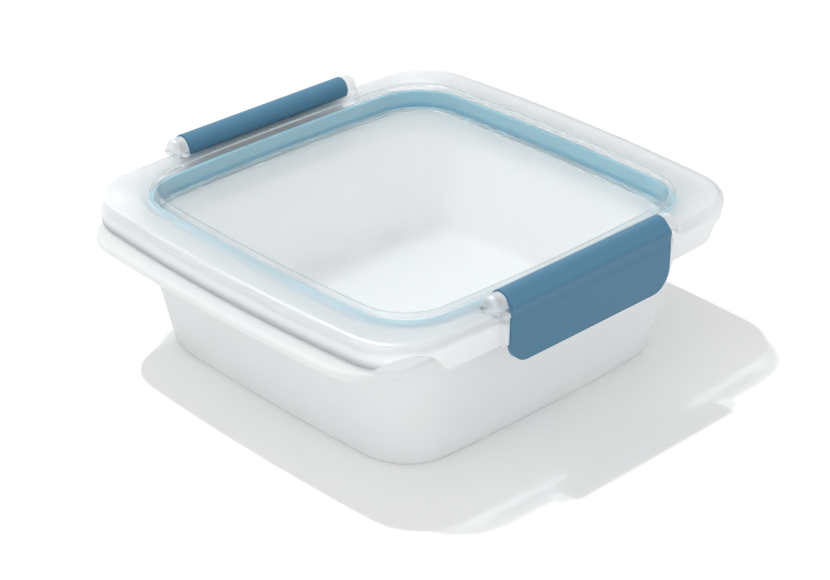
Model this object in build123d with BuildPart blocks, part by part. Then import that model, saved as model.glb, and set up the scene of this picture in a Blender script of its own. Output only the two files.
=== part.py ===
from build123d import *
from math import cos, radians, sin, tan
import os

# Sandwich container with a clear recessed lid, a gasket and two side latches.
# Origin at the middle of the base, Z up. The latches are on the -Y and +Y sides,
# the wide parts of the grip flange on the -X and +X sides. Sizes in millimetres.

# Container body: outline on the base, shoulder under the grip flange, upright collar
base_half_x = 62.9
base_half_y = 62.4
base_bow = 2.3
base_corner = 19.0
base_round = 2.5
floor_round = 3.0
wall = 1.8
floor_wall = 2.0
foot_width = 6.0
foot_recess = 0.7
shoulder_step = 1.2
shoulder_corner = 21.6
collar_half_x = 71.6
collar_half_y = 69.8
collar_bow = 2.6
collar_corner = 23.0
collar_rise = 6.0
collar_sink = 0.8
collar_chamfer = 0.5

# Grip flange: wide wings on the -X and +X sides, a narrow rim on the latch sides
wing_reach = 15.7
rim_reach = 0.6
flange_bow_x = 2.6
flange_bow_y = 1.0
flange_corner = 20.0
flange_top = 46.0
flange_plate = 2.0
flange_edge_depth = 3.2
flange_edge_width = 2.2
flange_top_round = 1.4
flange_chamfer = 0.5
rise_start = 54.0
rise_height = 1.8

# Ledge that each latch hooks under
catch_half = 28.0
catch_gap = 2.1
catch_end = 3.0

# Lid plate with its skirt
lid_reach_x = 10.8
lid_reach_y = 7.1
lid_bow_x = 4.2
lid_bow_y = 2.2
lid_corner = 21.3
lid_seat = 1.2
lid_plate = 2.0
lid_edge_round = 2.5
skirt_wall = 2.0
skirt_round = 1.0
skirt_gap = 0.3

# Side tabs of the skirt beside each latch, and the arches at the lid's corners
tab_drop = 2.3
tab_half = 60.5
tab_corner = 3.0
arch_out = 69.3
arch_drop = 4.0
arch_radius = 9.4
arch_start = 58.0

# Bead, recess and window in the middle of the lid
bead_inset = 3.1
bead_width = 2.6
bead_height = 1.3
bead_round = 1.1
recess_depth = 8.0
recess_draft = 5.0
recess_round = 1.6
window_plate = 1.8
plug_wall = 1.3
plug_lip = 0.8
plug_lip_height = 1.0

# Gasket round the plug
seal_height = 5.8
seal_band = 1.3
seal_lip_edge = 0.5
seal_lip_rise = 0.9
seal_lip_steps = (0.5, 2.7)
seal_fit = 0.1
seal_wall_gap = 0.3

# Hinge of each latch
hinge_inset = 2.8
hinge_rise = 2.2
pin_radius = 1.6
pin_length = 5.0
pin_clearance = 0.06
pin_chamfer = 0.4
pin_end_gap = 0.4
ear_radius = 3.3
ear_thickness = 4.6
ear_round = 1.4
ear_flare = 1.6
hinge_gap = 0.35
cheek_thickness = 1.6
cheek_reach = 4.4
cheek_drop = 1.0
cheek_round = 1.2
seat_width = 0.6

# Latch
latch_half = 35.75
barrel_radius = 3.8
crown_reach = 5.3
crown_radius = 1.6
crown_drop = 0.6
neck_depth = 0.25
neck_drop = 2.8
plate_thickness = 2.1
plate_drop = 20.0
plate_corner = 7.4
hook_half = 20.0
hook_reach = 1.0
hook_gap = 0.3
hook_slope = 60.0
hook_tip = 0.8
hook_fall = 1.0


def bowed(half_x, half_y, bow_x, bow_y, radius):
    """Rounded square whose four sides bow outwards."""
    corner_x = half_x - bow_x
    corner_y = half_y - bow_y
    with BuildSketch(mode=Mode.PRIVATE) as face:
        with BuildLine():
            ThreePointArc((-corner_x, -corner_y), (0, -half_y), (corner_x, -corner_y))
            ThreePointArc((corner_x, -corner_y), (half_x, 0), (corner_x, corner_y))
            ThreePointArc((corner_x, corner_y), (0, half_y), (-corner_x, corner_y))
            ThreePointArc((-corner_x, corner_y), (-half_x, 0), (-corner_x, -corner_y))
        make_face()
        fillet(face.vertices(), radius)
    return face.sketch


def base_outline(inset=0.0):
    return bowed(
        base_half_x - inset, base_half_y - inset, base_bow, base_bow, base_corner - inset
    )


def shoulder_outline(inset=0.0):
    return bowed(
        collar_half_x - inset,
        collar_half_y - shoulder_step - inset,
        base_bow,
        base_bow,
        shoulder_corner - inset,
    )


def collar_outline(inset=0.0):
    return bowed(
        collar_half_x - inset, collar_half_y - inset, collar_bow, collar_bow, collar_corner - inset
    )


def flange_outline(inset=0.0):
    return bowed(
        collar_half_x + wing_reach - inset,
        collar_half_y + rim_reach - inset,
        flange_bow_x,
        flange_bow_y,
        flange_corner - inset,
    )


def lid_outline(inset=0.0):
    return bowed(lid_half_x - inset, lid_half_y - inset, lid_bow_x, lid_bow_y, lid_corner - inset)


def section(outline, height):
    """An outline laid at a height."""
    with BuildSketch(Plane.XY.offset(height)) as laid:
        add(outline)
    return laid.sketch


def prism(outline, low, high, mode=Mode.ADD):
    """Straight solid of an outline between two heights."""
    extrude(section(outline, low), amount=high - low, mode=mode)


def taper(low_outline, low, high_outline, high, mode=Mode.ADD):
    """Solid with straight drawn sides from one outline to another, higher one."""
    loft([section(low_outline, low), section(high_outline, high)], ruled=True, mode=mode)


# Places that follow from the sizes above
flange_under = flange_top - flange_plate
flange_bottom = flange_top - flange_edge_depth
flange_half_x = collar_half_x + wing_reach
rim_half_y = collar_half_y + rim_reach
collar_floor = flange_top - collar_sink
collar_top = flange_top + collar_rise
lid_half_x = collar_half_x + lid_reach_x
lid_half_y = collar_half_y + lid_reach_y
lid_under = collar_top + lid_seat
lid_top = lid_under + lid_plate
skirt_bottom = flange_top + skirt_gap
tab_bottom = skirt_bottom - tab_drop
recess_inset = bead_inset + bead_width
plug_inset = recess_inset - plug_wall
window_top = lid_top - recess_depth
plug_bottom = window_top - window_plate
seal_inset = plug_inset - seal_fit
seal_bottom = lid_under - seal_height
lip_inset = wall + seal_wall_gap
hinge_out = lid_half_y - hinge_inset
hinge_z = lid_top + hinge_rise
ear_start = latch_half + hinge_gap
ear_end_x = ear_start + ear_thickness
trough_radius = barrel_radius + hinge_gap
cheek_out = hinge_out + cheek_reach
cheek_top = lid_top + cheek_drop
plate_face = hinge_out + crown_reach
plate_back = plate_face - plate_thickness
plate_bottom = hinge_z - plate_drop
crown_out = plate_face - crown_radius
crown_z = hinge_z - crown_drop
neck_z = crown_z - neck_drop
catch_out = plate_back - catch_gap
ramp = tan(radians(hook_slope))
ramp_out = catch_out + hook_gap * sin(radians(hook_slope))
ramp_z = flange_bottom - hook_gap * cos(radians(hook_slope))
hook_in = catch_out - hook_reach
hook_low = ramp_z - (ramp_out - hook_in) * ramp

# Space inside the container
with BuildPart() as cavity:
    taper(base_outline(wall), 0, shoulder_outline(wall), flange_under)
    split(bisect_by=Plane.XY.offset(floor_wall), keep=Keep.TOP)
    fillet(cavity.faces().sort_by(Axis.Z)[0].edges(), floor_round)
    prism(shoulder_outline(wall), flange_under, collar_floor)
    prism(collar_outline(wall), collar_floor, collar_top)

# Container body and collar
with BuildPart() as container:
    taper(base_outline(), 0, shoulder_outline(), flange_under)
    fillet(container.faces().sort_by(Axis.Z)[0].edges(), base_round)
    prism(shoulder_outline(), flange_under, flange_top)
    prism(collar_outline(), flange_under, collar_top)
    add(cavity.part, mode=Mode.SUBTRACT)
    chamfer(container.faces().sort_by(Axis.Z)[-1].edges(), collar_chamfer)
    prism(base_outline(base_round + foot_width), 0, foot_recess, Mode.SUBTRACT)

# Grip flange, moulded in one with the container: its turned-down edge runs out
# towards the latch sides, where a ledge stands out for each latch
with BuildPart() as flange:
    prism(flange_outline(), flange_bottom, flange_top)
    fillet(flange.faces().sort_by(Axis.Z)[-1].edges(), flange_top_round)
    chamfer(flange.faces().sort_by(Axis.Z)[0].edges(), flange_chamfer)
    prism(flange_outline(flange_edge_width), flange_bottom, flange_under, Mode.SUBTRACT)
    with BuildSketch(Plane.YZ):
        for side in (-1, 1):
            Polygon(
                (side * rise_start, flange_bottom),
                (side * (rim_half_y + rim_reach), flange_bottom),
                (side * (rim_half_y + rim_reach), flange_bottom + rise_height),
                align=None,
            )
    extrude(amount=flange_half_x, both=True, mode=Mode.SUBTRACT)
    with BuildSketch(Plane.XY.offset(flange_bottom)) as ledges:
        Rectangle(2 * catch_half, 2 * catch_out)
        fillet(ledges.vertices(), catch_end)
    extrude(amount=flange_edge_depth)
    ledge_ends = flange.edges().filter_by(Axis.X).filter_by_position(
        Axis.Z, flange_bottom - 0.01, flange_bottom + 0.01
    )
    chamfer(ledge_ends.group_by(Axis.Y)[0] + ledge_ends.group_by(Axis.Y)[-1], flange_chamfer)
    prism(collar_outline(wall / 2), flange_bottom, flange_top, Mode.SUBTRACT)

with BuildPart() as tub:
    add(container.part)
    add(flange.part)
tub.part.label = "container"

# Latch, closed, on the -Y side: barrel and crown on one rounded profile, then the
# plate and the sloped hook
with BuildPart() as front_latch:
    with BuildSketch(Plane.YZ) as profile:
        with Locations((-hinge_out, hinge_z)):
            Circle(barrel_radius)
        with Locations((-crown_out, crown_z)):
            Circle(crown_radius)
        make_hull()
        with BuildLine():
            neck = Spline(
                (-plate_face, crown_z),
                (-plate_face + neck_depth, neck_z),
                (-plate_face, neck_z - neck_drop),
                tangents=[(0, -1), (0, -1)],
            )
            Polyline(
                neck @ 1,
                (-plate_face, plate_bottom),
                (-plate_back, plate_bottom),
                (-plate_back, crown_z),
                neck @ 0,
            )
        make_face()
    extrude(amount=latch_half, both=True)
    fillet(front_latch.edges().filter_by(Axis.Y).group_by(Axis.Z)[0], plate_corner)
    with BuildSketch(Plane.YZ):
        Polygon(
            (-plate_back, ramp_z + (plate_back - ramp_out) * ramp),
            (-hook_in, hook_low),
            (-hook_in, hook_low - hook_tip),
            (-plate_back, hook_low - hook_tip - hook_fall),
            align=None,
        )
    extrude(amount=hook_half, both=True)
    with Locations(
        Plane((-latch_half, -hinge_out, hinge_z), z_dir=(-1, 0, 0)),
        Plane((latch_half, -hinge_out, hinge_z), z_dir=(1, 0, 0)),
    ):
        Hole(pin_radius + pin_clearance, depth=pin_length + pin_end_gap)
front_latch.part.label = "front_latch"

with BuildPart() as rear_latch:
    mirror(front_latch.part, about=Plane.XZ)
rear_latch.part.label = "rear_latch"

# Skirt tabs that hang lower at both ends of each latch
with BuildPart() as tabs:
    prism(lid_outline(), tab_bottom, lid_under)
    prism(lid_outline(skirt_wall), tab_bottom, lid_under, Mode.SUBTRACT)
    with BuildSketch(Plane.XZ) as tab_face:
        with Locations((0, (tab_bottom + lid_under) / 2)):
            Rectangle(2 * tab_half, lid_under - tab_bottom)
        fillet(tab_face.vertices().group_by(Axis.Y)[0], tab_corner)
    extrude(amount=lid_half_y, both=True, mode=Mode.INTERSECT)

# Hinge ear at the +X end of the front latch, with its pin
with BuildPart() as ear:
    with BuildSketch(Plane.YZ.offset(ear_start)):
        with Locations((-hinge_out, hinge_z)):
            Circle(ear_radius)
        with BuildLine():
            Line(
                (-hinge_out - ear_radius - ear_flare, lid_top - lid_plate / 2),
                (-hinge_out + ear_radius + ear_flare, lid_top - lid_plate / 2),
            )
        make_hull()
    extrude(amount=ear_thickness)
    ear_end = ear.faces().sort_by(Axis.X)[-1]
    fillet(ear_end.edges().sort_by(Axis.Z)[1:], ear_round)
    with BuildSketch(Plane.YZ.offset(ear_start)):
        with Locations((-hinge_out, hinge_z)):
            Circle(pin_radius)
    extrude(amount=-pin_length)
    chamfer(ear.faces().sort_by(Axis.X)[0].edges(), pin_chamfer)

# Cheek beside each end of the latch
with BuildPart() as cheek:
    with BuildSketch(Plane.YZ.offset(ear_start)) as cheek_face:
        with Locations((-(hinge_out + cheek_out) / 2, (tab_bottom + cheek_top) / 2)):
            Rectangle(cheek_out - hinge_out, cheek_top - tab_bottom)
        fillet(cheek_face.vertices().sort_by(Axis.X)[:2], cheek_round)
    extrude(amount=cheek_thickness)
    prism(lid_outline(skirt_wall), tab_bottom, collar_top, Mode.SUBTRACT)

with BuildPart() as lid:
    prism(lid_outline(), skirt_bottom, lid_top)
    fillet(lid.faces().sort_by(Axis.Z)[-1].edges(), lid_edge_round)
    fillet(lid.faces().sort_by(Axis.Z)[0].edges(), skirt_round)
    prism(lid_outline(skirt_wall), skirt_bottom, lid_under, Mode.SUBTRACT)
    add(tabs.part)
    # arches in the skirt, between the sides and the tabs
    for side in (-1, 1):
        with BuildSketch(Plane.XZ.offset(side * arch_start)):
            with Locations(
                (-arch_out, skirt_bottom - arch_drop), (arch_out, skirt_bottom - arch_drop)
            ):
                Circle(arch_radius)
        extrude(amount=side * lid_half_y, mode=Mode.SUBTRACT)
    # seat over the collar, and the pads under the barrels
    prism(collar_outline(-seat_width), collar_top, lid_top - lid_plate / 2)
    with BuildSketch(Plane.XY.offset(collar_top)):
        Rectangle(2 * ear_end_x, 2 * catch_out)
    extrude(amount=lid_top - lid_plate / 2 - collar_top)
    prism(collar_outline(wall + seat_width), collar_top, lid_under, Mode.SUBTRACT)
    # plug with its retaining lip, and the bead
    prism(collar_outline(plug_inset), plug_bottom, lid_top)
    prism(collar_outline(plug_inset - plug_lip), plug_bottom, plug_bottom + plug_lip_height)
    prism(collar_outline(bead_inset), lid_under, lid_top + bead_height)
    extrude(
        section(collar_outline(recess_inset), lid_top + bead_height),
        amount=-recess_depth - bead_height,
        taper=recess_draft,
        mode=Mode.SUBTRACT,
    )
    fillet(lid.faces().sort_by(Axis.Z)[-1].edges(), bead_round)
    window = lid.faces().filter_by(Plane.XY).filter_by_position(
        Axis.Z, window_top - 0.01, window_top + 0.01
    )
    fillet(window.edges(), recess_round)
    # the latches' places: no skirt under the pads, no edge beyond them
    for start, height in ((rim_half_y, collar_top), (catch_out, lid_top + bead_height)):
        with BuildSketch(Plane.XY.offset(tab_bottom)):
            for side in (-1, 1):
                with Locations((0, side * (start + lid_half_y / 2))):
                    Rectangle(2 * ear_start, lid_half_y)
        extrude(amount=height - tab_bottom, mode=Mode.SUBTRACT)
    # troughs for the barrels
    with BuildSketch(Plane.YZ):
        with Locations((-hinge_out, hinge_z), (hinge_out, hinge_z)):
            Circle(trough_radius)
    extrude(amount=ear_start, both=True, mode=Mode.SUBTRACT)
    # ears and cheeks at the four latch ends
    for end in (ear.part, cheek.part):
        add(end)
        mirror(end, about=Plane.YZ)
        mirror(end, about=Plane.XZ)
        add(end.rotate(Axis.Z, 180))
lid.part.label = "lid"

# Gasket with two lips that reach towards the collar
with BuildPart() as seal:
    prism(collar_outline(seal_inset - seal_band), seal_bottom, lid_under)
    for step in seal_lip_steps:
        lip_z = seal_bottom + step
        taper(
            collar_outline(seal_inset - seal_band),
            lip_z,
            collar_outline(lip_inset),
            lip_z + seal_lip_rise,
        )
        prism(
            collar_outline(lip_inset),
            lip_z + seal_lip_rise,
            lip_z + seal_lip_rise + seal_lip_edge,
        )
    prism(collar_outline(seal_inset), seal_bottom, lid_under, Mode.SUBTRACT)
seal.part.label = "seal"

os.makedirs("parts", exist_ok=True)
export_step(tub.part, "parts/container.step")
export_step(lid.part, "parts/lid.step")
export_step(seal.part, "parts/seal.step")
export_step(front_latch.part, "parts/front_latch.step")
export_step(rear_latch.part, "parts/rear_latch.step")
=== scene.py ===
import bpy
import math
from mathutils import Matrix, Vector

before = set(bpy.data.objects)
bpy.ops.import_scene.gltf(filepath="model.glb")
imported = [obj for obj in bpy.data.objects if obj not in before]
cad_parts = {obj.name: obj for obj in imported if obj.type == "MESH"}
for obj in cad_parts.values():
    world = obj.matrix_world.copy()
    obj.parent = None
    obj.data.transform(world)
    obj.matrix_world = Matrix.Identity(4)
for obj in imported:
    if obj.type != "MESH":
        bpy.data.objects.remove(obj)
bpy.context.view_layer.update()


# camera at the photograph's angle
camera = {
    "azimuth": -44.29,
    "elevation": 28.70,
    "roll": -0.53,
    "lens": 98.18,
    "sensor": 36.0,
    "farthest": 20.0,
    "distance": 0.76223,
    "right": 0.00094,
    "up": 0.01607,
}


def addCamera(v):
    az = math.radians(v["azimuth"])
    el = math.radians(v["elevation"])
    roll = math.radians(v["roll"])
    back = Vector((math.sin(az) * math.cos(el), -math.cos(az) * math.cos(el), math.sin(el)))
    right = Vector((math.cos(az), math.sin(az), 0.0))
    up = back.cross(right)
    place = right * v["right"] + up * v["up"] + back * v["distance"]
    tiltedRight = right * math.cos(roll) - up * math.sin(roll)
    tiltedUp = right * math.sin(roll) + up * math.cos(roll)
    data = bpy.data.cameras.new("productCamera")
    data.sensor_width = v["sensor"]
    data.sensor_fit = "HORIZONTAL"
    data.lens = v["lens"]
    data.clip_end = v["farthest"]
    camObject = bpy.data.objects.new("productCamera", data)
    bpy.context.scene.collection.objects.link(camObject)
    turn = Matrix((tiltedRight, tiltedUp, back)).transposed().to_4x4()
    camObject.matrix_world = Matrix.Translation(place) @ turn
    bpy.context.scene.camera = camObject


addCamera(camera)
print("camera placed")


# small helpers for node materials
def newMaterial(name):
    mat = bpy.data.materials.new(name)
    mat.use_nodes = True
    nodes = mat.node_tree.nodes
    nodes.clear()
    out = nodes.new("ShaderNodeOutputMaterial")
    return mat, nodes, mat.node_tree.links, out


def setInputs(node, **values):
    for key, value in values.items():
        node.inputs[key.replace("_", " ")].default_value = value
    return node


def finePattern(nodes, links, scale, detail=3.0):
    coord = nodes.new("ShaderNodeTexCoord")
    noise = nodes.new("ShaderNodeTexNoise")
    setInputs(noise, Scale=scale, Detail=detail)
    links.new(coord.outputs["Object"], noise.inputs["Vector"])
    return noise


# fine grain of a moulded surface, from its scale and strength
grainDepth = 0.0002


def addGrain(nodes, links, shader, grain):
    scale, strength = grain
    noise = finePattern(nodes, links, scale)
    bump = nodes.new("ShaderNodeBump")
    setInputs(bump, Strength=strength, Distance=grainDepth)
    links.new(noise.outputs["Fac"], bump.inputs["Height"])
    links.new(bump.outputs[0], shader.inputs["Normal"])


# place of a point on the piece, as three numbers
def splitPlace(nodes, links):
    coord = nodes.new("ShaderNodeTexCoord")
    split = nodes.new("ShaderNodeSeparateXYZ")
    links.new(coord.outputs["Object"], split.inputs[0])
    return split


# a socket takes either a plain value or the output of a node
def feed(links, socket, value):
    if isinstance(value, bpy.types.NodeSocket):
        links.new(value, socket)
    else:
        socket.default_value = value


def mathNode(nodes, links, operation, first, second=0.0):
    node = nodes.new("ShaderNodeMath")
    node.operation = operation
    feed(links, node.inputs[0], first)
    feed(links, node.inputs[1], second)
    return node.outputs[0]


# inside a rounded square of a half width, half depth and squareness
def insideSquare(nodes, links, split, halfX, halfY, squareness):
    spread = []
    for axis, half in (("X", halfX), ("Y", halfY)):
        across = mathNode(nodes, links, "ABSOLUTE", split.outputs[axis])
        share = mathNode(nodes, links, "DIVIDE", across, half)
        spread.append(mathNode(nodes, links, "POWER", share, squareness))
    reach = mathNode(nodes, links, "ADD", *spread)
    return mathNode(nodes, links, "LESS_THAN", reach, 1.0)


def blendValue(nodes, links, mask, low, high):
    scaled = mathNode(nodes, links, "MULTIPLY", mask, high - low)
    return mathNode(nodes, links, "ADD", scaled, low)


def blendColour(nodes, links, mask, low, high):
    mix = nodes.new("ShaderNodeMix")
    mix.data_type = "RGBA"
    feed(links, mix.inputs["Factor"], mask)
    feed(links, mix.inputs["A"], low)
    feed(links, mix.inputs["B"], high)
    return mix


def blendShaders(nodes, links, mask, low, high):
    mix = nodes.new("ShaderNodeMixShader")
    feed(links, mix.inputs[0], mask)
    links.new(low.outputs[0], mix.inputs[1])
    links.new(high.outputs[0], mix.inputs[2])
    return mix


# milky tub
tubFinish = {
    "colour": (0.90, 0.91, 0.912, 1.0),
    "roughness": 0.38,
    "index": 1.4,
    "through": 0.4,  # share of light that passes the wall
    "mottle": (60.0, 0.03),
    "grain": (900.0, 0.06),
    "collarFrom": 0.0480,
    "collarSquare": (0.0722, 0.0704, 6.0),
    "collarClear": 0.5,
}


def tubMaterial(v):
    mat, nodes, links, out = newMaterial("milkyTub")
    body = nodes.new("ShaderNodeBsdfPrincipled")
    setInputs(body, Roughness=v["roughness"], IOR=v["index"])
    glow = setInputs(nodes.new("ShaderNodeBsdfTranslucent"), Color=v["colour"])
    mottleScale, mottleShare = v["mottle"]
    cloud = finePattern(nodes, links, mottleScale)
    tint = blendColour(nodes, links, mottleShare, v["colour"], cloud.outputs["Color"])
    tint.blend_type = "MULTIPLY"
    links.new(tint.outputs["Result"], body.inputs["Base Color"])
    addGrain(nodes, links, body, v["grain"])
    wall = blendShaders(nodes, links, v["through"], body, glow)
    # the thin collar lets the gasket show
    split = splitPlace(nodes, links)
    inside = insideSquare(nodes, links, split, *v["collarSquare"])
    high = mathNode(nodes, links, "GREATER_THAN", split.outputs["Z"], v["collarFrom"])
    collar = mathNode(nodes, links, "MULTIPLY", inside, high)
    seeThrough = mathNode(nodes, links, "MULTIPLY", collar, v["collarClear"])
    clear = nodes.new("ShaderNodeBsdfTransparent")
    final = blendShaders(nodes, links, seeThrough, wall, clear)
    links.new(final.outputs[0], out.inputs["Surface"])
    return mat


# frosted lid: hazy plate and window, clear bead, recess wall and ears
lidFinish = {
    # frosted plate, window and skirt
    "colour": (0.965, 0.98, 0.985, 1.0),
    "index": 1.25,
    "plateFrost": 0.30,
    "windowFrost": 0.09,
    "plateMilk": 0.38,
    "windowMilk": 0.22,
    "skirtMilk": 0.86,
    "ringMilk": 0.26,
    "grain": (1200.0, 0.04),
    # the milk in the plastic
    "milkColour": (0.955, 0.96, 0.965, 1.0),
    "milkThrough": 0.5,
    "sheen": 0.42,
    "sheenFrost": 0.45,
    # painted shade colour for the shadowed gap over the flange, on the skirt's wing sides
    "paintedGapShadeColour": (0.52, 0.54, 0.55, 1.0),
    # clear bead, recess wall and ears
    "clearTint": (0.965, 0.98, 0.985, 1.0),
    "clearEdge": (0.40, 0.54, 0.60, 1.0),
    "edgeBlend": 0.5,
    "edgePower": 3.0,
    # painted shade and painted blue spill of the gasket's colour, low on the recess wall
    "paintedGasketSpill": (0.70, 0.87, 0.93, 1.0),
    "wallMilk": 0.06,
    "beadMilk": 0.18,
    "earMilk": 0.58,
    "clearGloss": 0.10,
    "shineBlend": 0.12,
    # what a shadow ray keeps at each surface
    "shade": (0.93, 0.95, 0.955, 1.0),
    "plateShade": (0.50, 0.53, 0.54, 1.0),
    # where the finishes change: half width, half depth and squareness, or a height
    "plugSquare": (0.0683, 0.0665, 6.4),
    "ringSquare": (0.0752, 0.0734, 6.0),
    "windowTo": 0.0474,
    "footTo": 0.0490,
    "skirtTo": 0.0518,
    "clearFrom": 0.0553,
    "earFrom": 0.0568,
    # painted shade over the flange: heights where it starts and where it is full, and how far out
    # along x it begins
    "paintedGapShade": (0.0500, 0.0463),
    "paintedGapShadeSide": 0.0672,
}


# masks that are 1 on a part of the lid and 0 elsewhere
def lidRegions(nodes, links, split, v):
    height = split.outputs["Z"]
    inside = insideSquare(nodes, links, split, *v["plugSquare"])
    outside = mathNode(nodes, links, "SUBTRACT", 1.0, inside)
    low = mathNode(nodes, links, "LESS_THAN", height, v["windowTo"])
    window = mathNode(nodes, links, "MULTIPLY", inside, low)
    wall = mathNode(nodes, links, "SUBTRACT", inside, window)
    high = mathNode(nodes, links, "GREATER_THAN", height, v["clearFrom"])
    under = mathNode(nodes, links, "LESS_THAN", height, v["skirtTo"])
    near = insideSquare(nodes, links, split, *v["ringSquare"])
    foot = mathNode(nodes, links, "LESS_THAN", height, v["footTo"])
    # painted shade band on the skirt, from none at its top height to full at its foot height
    paintedGapShade = nodes.new("ShaderNodeMapRange")
    paintedGapShade.interpolation_type = "SMOOTHSTEP"
    gapShadeTop, gapShadeBottom = v["paintedGapShade"]
    setInputs(paintedGapShade, From_Min=gapShadeTop, From_Max=gapShadeBottom)
    links.new(height, paintedGapShade.inputs["Value"])
    across = mathNode(nodes, links, "ABSOLUTE", split.outputs["X"])
    wing = mathNode(nodes, links, "GREATER_THAN", across, v["paintedGapShadeSide"])
    return {
        "window": window,
        "high": high,
        "clear": mathNode(nodes, links, "MAXIMUM", high, wall),
        "skirt": mathNode(nodes, links, "MULTIPLY", under, outside),
        "ring": mathNode(nodes, links, "MULTIPLY", near, outside),
        "foot": mathNode(nodes, links, "MULTIPLY", foot, wall),
        "ears": mathNode(nodes, links, "GREATER_THAN", height, v["earFrom"]),
        "paintedGapShade": mathNode(nodes, links, "MULTIPLY", paintedGapShade.outputs["Result"], wing),
    }


# adds the step between two values where a mask is 1
def addStep(nodes, links, value, mask, low, high):
    step = mathNode(nodes, links, "MULTIPLY", mask, high - low)
    return mathNode(nodes, links, "ADD", value, step)


# milk of the plastic: part on the surface, part through it, with a soft sheen
def addHaze(nodes, links, region, v):
    # painted shade: the skirt darkens towards its foot on the wing sides, standing in for the
    # shadowed gap over the flange
    milkAndGapShade = blendColour(nodes, links, region["paintedGapShade"], v["milkColour"], v["paintedGapShadeColour"])
    milkTop = nodes.new("ShaderNodeBsdfDiffuse")
    milkThrough = nodes.new("ShaderNodeBsdfTranslucent")
    sheen = setInputs(nodes.new("ShaderNodeBsdfGlossy"), Roughness=v["sheenFrost"])
    for shader in (milkTop, milkThrough, sheen):
        links.new(milkAndGapShade.outputs["Result"], shader.inputs["Color"])
    haze = blendShaders(nodes, links, v["milkThrough"], milkTop, milkThrough)
    return blendShaders(nodes, links, v["sheen"], haze, sheen)


def addFrosted(nodes, links, region, haze, v):
    frost = blendValue(nodes, links, region["window"], v["plateFrost"], v["windowFrost"])
    milk = blendValue(nodes, links, region["window"], v["plateMilk"], v["windowMilk"])
    # less cloudy over the gasket, so that it shows as a blue band
    milk = addStep(nodes, links, milk, region["ring"], v["plateMilk"], v["ringMilk"])
    milk = addStep(nodes, links, milk, region["skirt"], v["plateMilk"], v["skirtMilk"])
    glass = nodes.new("ShaderNodeBsdfPrincipled")
    setInputs(glass, Base_Color=v["colour"], IOR=v["index"], Transmission_Weight=1.0)
    links.new(frost, glass.inputs["Roughness"])
    addGrain(nodes, links, glass, v["grain"])
    return blendShaders(nodes, links, milk, glass, haze)


# clear plastic, the bead and ears darker where they are seen edge on
def addClear(nodes, links, region, haze, v):
    facing = setInputs(nodes.new("ShaderNodeLayerWeight"), Blend=v["edgeBlend"])
    edge = mathNode(nodes, links, "POWER", facing.outputs["Facing"], v["edgePower"])
    edge = mathNode(nodes, links, "MULTIPLY", edge, region["high"])
    tint = blendColour(nodes, links, edge, v["clearTint"], v["clearEdge"])
    # painted shade and painted blue spill of the gasket's colour at the foot of the recess wall
    tint = blendColour(nodes, links, region["foot"], tint.outputs["Result"], v["paintedGasketSpill"])
    thin = nodes.new("ShaderNodeBsdfTransparent")
    links.new(tint.outputs["Result"], thin.inputs["Color"])
    gloss = setInputs(nodes.new("ShaderNodeBsdfGlossy"), Roughness=v["clearGloss"])
    shine = setInputs(nodes.new("ShaderNodeLayerWeight"), Blend=v["shineBlend"])
    shiny = blendShaders(nodes, links, shine.outputs["Facing"], thin, gloss)
    milk = blendValue(nodes, links, region["high"], v["wallMilk"], v["beadMilk"])
    milk = addStep(nodes, links, milk, region["ears"], v["beadMilk"], v["earMilk"])
    return blendShaders(nodes, links, milk, shiny, haze)


def lidMaterial(v):
    mat, nodes, links, out = newMaterial("frostedLid")
    region = lidRegions(nodes, links, splitPlace(nodes, links), v)
    haze = addHaze(nodes, links, region, v)
    frosted = addFrosted(nodes, links, region, haze, v)
    clearPart = addClear(nodes, links, region, haze, v)
    lid = blendShaders(nodes, links, region["clear"], frosted, clearPart)
    # light goes through, less through the plate
    openPart = mathNode(nodes, links, "MAXIMUM", region["window"], region["clear"])
    shade = blendColour(nodes, links, openPart, v["plateShade"], v["shade"])
    letThrough = nodes.new("ShaderNodeBsdfTransparent")
    links.new(shade.outputs["Result"], letThrough.inputs["Color"])
    path = nodes.new("ShaderNodeLightPath")
    final = blendShaders(nodes, links, path.outputs["Is Shadow Ray"], lid, letThrough)
    links.new(final.outputs[0], out.inputs["Surface"])
    return mat


# silicone gasket
sealFinish = {
    "colour": (0.34, 0.66, 0.78, 1.0),
    "roughness": 0.45,
    "softShare": 0.2,
    "softDepth": 0.004,
    "grain": (700.0, 0.05),
}


def sealMaterial(v):
    mat, nodes, links, out = newMaterial("siliconeSeal")
    body = nodes.new("ShaderNodeBsdfPrincipled")
    setInputs(body, Base_Color=v["colour"], Roughness=v["roughness"])
    setInputs(body, Subsurface_Weight=v["softShare"], Subsurface_Scale=v["softDepth"])
    addGrain(nodes, links, body, v["grain"])
    links.new(body.outputs[0], out.inputs["Surface"])
    return mat


# blue latches
latchFinish = {
    "colour": (0.075, 0.205, 0.32, 1.0),
    "roughness": 0.45,
    "index": 1.36,
    "grain": (1500.0, 0.12),
}


def latchMaterial(v):
    mat, nodes, links, out = newMaterial("blueLatch")
    body = nodes.new("ShaderNodeBsdfPrincipled")
    setInputs(body, Base_Color=v["colour"], Roughness=v["roughness"], IOR=v["index"])
    addGrain(nodes, links, body, v["grain"])
    links.new(body.outputs[0], out.inputs["Surface"])
    return mat


def dress(node, mat):
    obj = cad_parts[node]
    obj.data.materials.clear()
    obj.data.materials.append(mat)


dress("container", tubMaterial(tubFinish))
dress("lid", lidMaterial(lidFinish))
dress("seal", sealMaterial(sealFinish))
latchBlue = latchMaterial(latchFinish)
dress("front_latch", latchBlue)
dress("rear_latch", latchBlue)
print("finishes given")


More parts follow.
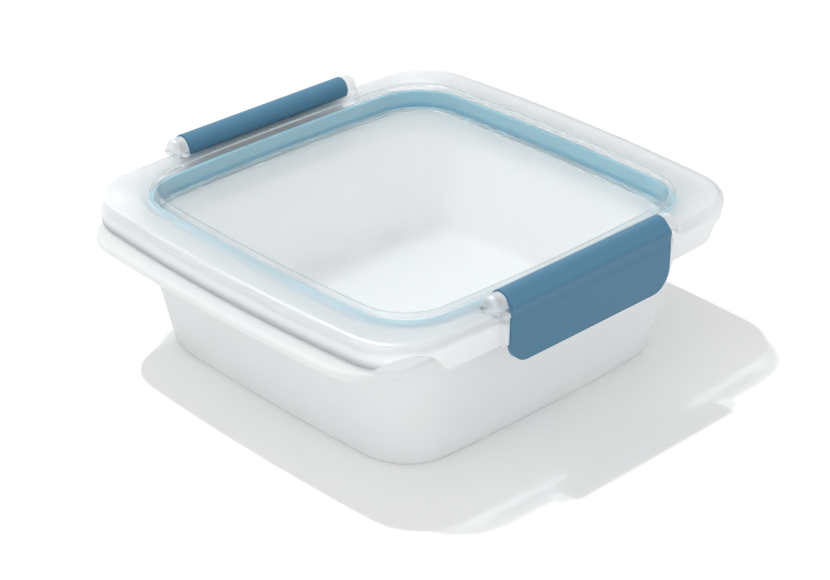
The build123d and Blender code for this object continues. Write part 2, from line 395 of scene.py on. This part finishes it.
# floor, backdrop and light
studio = {
    "white": (1.0, 1.0, 1.0, 1.0),
    "floorSize": 6.0,
    "floorColour": (0.9, 0.9, 0.9, 1.0),
    "floorLift": 0.05,
    "farLift": 0.45,
    "farFrom": (0.35, 1.6),
    "skyLight": 0.75,
    "plainLight": 1.0,
    "lamps": {
        # place, width and power
        "keyLamp": ((-0.20, 0.86, 2.20), 0.07, 22.0),
        "sideLamp": ((-1.25, -0.30, 0.60), 0.9, 2.9),
    },
}


def addFloor(v):
    bpy.ops.object.select_all(action="DESELECT")
    bpy.ops.mesh.primitive_plane_add(size=v["floorSize"], location=(0, 0, 0))
    floor = bpy.context.object
    floor.name = "floor"
    mat, nodes, links, out = newMaterial("paleFloor")
    matte = setInputs(nodes.new("ShaderNodeBsdfDiffuse"), Color=v["floorColour"])
    lift = setInputs(nodes.new("ShaderNodeEmission"), Color=v["white"])
    path = nodes.new("ShaderNodeLightPath")
    # the far floor gets less of the lamps, so it is lifted to the same white
    coord = nodes.new("ShaderNodeTexCoord")
    length = nodes.new("ShaderNodeVectorMath")
    length.operation = "LENGTH"
    links.new(coord.outputs["Object"], length.inputs[0])
    far = nodes.new("ShaderNodeMapRange")
    farStart, farEnd = v["farFrom"]
    setInputs(far, From_Min=farStart, From_Max=farEnd)
    setInputs(far, To_Min=v["floorLift"], To_Max=v["farLift"])
    links.new(length.outputs["Value"], far.inputs["Value"])
    amount = mathNode(nodes, links, "MULTIPLY", path.outputs["Is Camera Ray"], far.outputs["Result"])
    links.new(amount, lift.inputs["Strength"])
    both = nodes.new("ShaderNodeAddShader")
    links.new(matte.outputs[0], both.inputs[0])
    links.new(lift.outputs[0], both.inputs[1])
    links.new(both.outputs[0], out.inputs["Surface"])
    floor.data.materials.append(mat)


def addLight(v):
    world = bpy.data.worlds.new("studioWorld")
    world.use_nodes = True
    nodes = world.node_tree.nodes
    links = world.node_tree.links
    nodes.clear()
    out = nodes.new("ShaderNodeOutputWorld")
    sky = setInputs(nodes.new("ShaderNodeBackground"), Color=v["white"], Strength=v["skyLight"])
    plain = setInputs(nodes.new("ShaderNodeBackground"), Color=v["white"], Strength=v["plainLight"])
    # plain white for the camera, for reflections and through glass
    path = nodes.new("ShaderNodeLightPath")
    seen = path.outputs["Is Camera Ray"]
    for ray in ("Is Glossy Ray", "Is Transmission Ray"):
        seen = mathNode(nodes, links, "MAXIMUM", seen, path.outputs[ray])
    both = blendShaders(nodes, links, seen, sky, plain)
    links.new(both.outputs[0], out.inputs["Surface"])
    bpy.context.scene.world = world
    for name, (place, width, power) in v["lamps"].items():
        lamp = bpy.data.lights.new(name, "AREA")
        lamp.shape = "DISK"
        lamp.size = width
        lamp.energy = power
        lampObject = bpy.data.objects.new(name, lamp)
        lampObject.location = place
        lampObject.rotation_euler = Vector(place).to_track_quat("Z", "Y").to_euler()
        bpy.context.scene.collection.objects.link(lampObject)


addFloor(studio)
addLight(studio)
bpy.context.scene.view_settings.view_transform = "Standard"
print("studio set")
